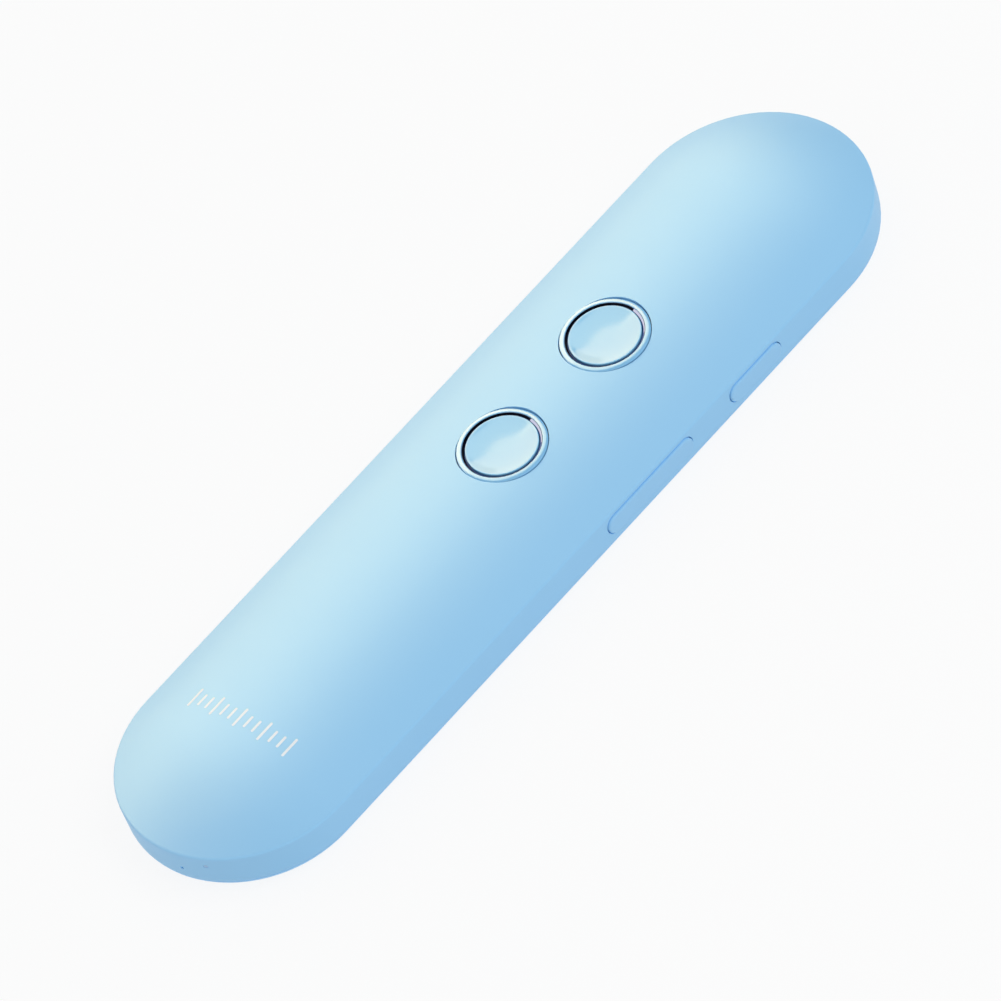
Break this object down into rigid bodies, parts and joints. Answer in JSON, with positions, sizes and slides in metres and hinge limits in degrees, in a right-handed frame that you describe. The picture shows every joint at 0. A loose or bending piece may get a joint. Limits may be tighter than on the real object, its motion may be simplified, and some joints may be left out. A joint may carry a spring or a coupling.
{
  "type": "handheld translator",
  "caption": "Slim pill-shaped voice translator: domed front shell with round push buttons, side keys in the wall, and a flat back cover over a battery, circuit board and speaker.",
  "frame": {"origin": "centre of the flat back face, on the back cover", "axes": "+Z out of the front face, +Y towards the top end with the charging socket, +X towards the wall with the side keys"},
  "size_m": [0.0353, 0.14, 0.0118],
  "materials": {
    "casing": "satin pale blue moulding",
    "key_plastic": "satin pale blue moulding",
    "bezel": "smooth pale blue, semi gloss",
    "ring_chrome": "dark mirror plating",
    "cap_gloss": "gloss pale blue",
    "silicone": "soft silicone",
    "screw_steel": "zinc plated",
    "switch_black": "moulded black",
    "stem_plastic": "moulded off-white",
    "circuit_board": "solder mask",
    "chip_black": "moulded package",
    "tin_plate": "tin plated sheet",
    "ceramic": "fired ceramic",
    "gold_contact": "gold plated",
    "cell_foil": "laminated foil pouch",
    "foam": "closed-cell foam with adhesive",
    "wire_red": "vinyl insulation",
    "wire_black": "vinyl insulation",
    "connector_white": "moulded nylon",
    "magnet_steel": "nickel plated",
    "coil_copper": "enamelled copper winding",
    "diaphragm": "thin film",
    "mesh_cloth": "fine woven mesh",
    "led_clear": "clear moulded",
    "flex_amber": "polyimide ribbon"
  },
  "bodies": {
    "casing": {"front_shell": "casing", "back_cover": "casing", "upper_button_bezel": "bezel", "lower_button_bezel": "bezel", "upper_button_ring": "ring_chrome", "lower_button_ring": "ring_chrome", "microphone_boot": "silicone", "case_screws": "screw_steel", "board_screws": "screw_steel", "upper_switch_body": "switch_black", "lower_switch_body": "switch_black", "volume_up_switch_body": "switch_black", "volume_down_switch_body": "switch_black", "power_switch_body": "switch_black", "speaker_frame": "switch_black", "main_board": "circuit_board", "mic_board": "circuit_board", "battery_guard_board": "circuit_board", "main_chip": "chip_black", "memory_chip": "chip_black", "audio_amplifier": "chip_black", "charger_chip": "chip_black", "power_coil": "chip_black", "usb_socket_tongue": "chip_black", "shield_can": "tin_plate", "crystal": "tin_plate", "microphone": "tin_plate", "usb_socket_shell": "tin_plate", "small_parts": "ceramic", "antenna": "ceramic", "usb_contacts": "gold_contact", "battery_cell": "cell_foil", "battery_pad": "foam", "speaker_gasket": "foam", "battery_lead_red": "wire_red", "speaker_lead_right": "wire_red", "battery_lead_black": "wire_black", "speaker_lead_left": "wire_black", "battery_header": "connector_white", "battery_plug": "connector_white", "main_flex_connector": "connector_white", "mic_flex_connector": "connector_white", "speaker_magnet": "magnet_steel", "voice_coil": "coil_copper", "speaker_cone": "diaphragm", "speaker_mesh": "mesh_cloth", "status_led": "led_clear", "light_pipe": "led_clear", "flex_cable": "flex_amber"},
    "upper_button": {"upper_button_cap": "cap_gloss", "upper_button_pad": "silicone", "upper_switch_stem": "stem_plastic"},
    "lower_button": {"lower_button_cap": "cap_gloss", "lower_button_pad": "silicone", "lower_switch_stem": "stem_plastic"},
    "power_key": {"power_button": "key_plastic", "power_switch_stem": "stem_plastic"},
    "volume_key": {"volume_rocker": "key_plastic"},
    "volume_up_plunger": {"volume_up_switch_stem": "stem_plastic"},
    "volume_down_plunger": {"volume_down_switch_stem": "stem_plastic"}
  },
  "joints": [
    {"name": "upper_button_press", "type": "slide", "parent": "casing", "child": "upper_button", "axis": [0, 0, -1], "range_m": [0, 0.0003], "stiffness_N_per_m": 400, "springref_m": -0.0004},
    {"name": "lower_button_press", "type": "slide", "parent": "casing", "child": "lower_button", "axis": [0, 0, -1], "range_m": [0, 0.0003], "stiffness_N_per_m": 400, "springref_m": -0.0004},
    {"name": "power_key_press", "type": "slide", "parent": "casing", "child": "power_key", "axis": [-1, 0, 0], "range_m": [0, 0.00025], "stiffness_N_per_m": 400, "springref_m": -0.0004},
    {"name": "volume_rock", "type": "hinge", "parent": "casing", "child": "volume_key", "pos_m": [0.01474, 0.0109, 0.0048], "axis": [0, 0, 1], "range_deg": [-1.8, 1.8], "stiffness_Nm_per_rad": 0.05},
    {"name": "volume_up_plunge", "type": "slide", "parent": "casing", "child": "volume_up_plunger", "axis": [-1, 0, 0], "range_m": [-0.0002, 0.0002]},
    {"name": "volume_down_plunge", "type": "slide", "parent": "casing", "child": "volume_down_plunger", "axis": [-1, 0, 0], "range_m": [-0.0002, 0.0002]}
  ],
  "couplings": [
    {"joint": "volume_up_plunge", "follows": "volume_rock", "m_per_rad": 0.0056},
    {"joint": "volume_down_plunge", "follows": "volume_rock", "m_per_rad": -0.0056}
  ]
}
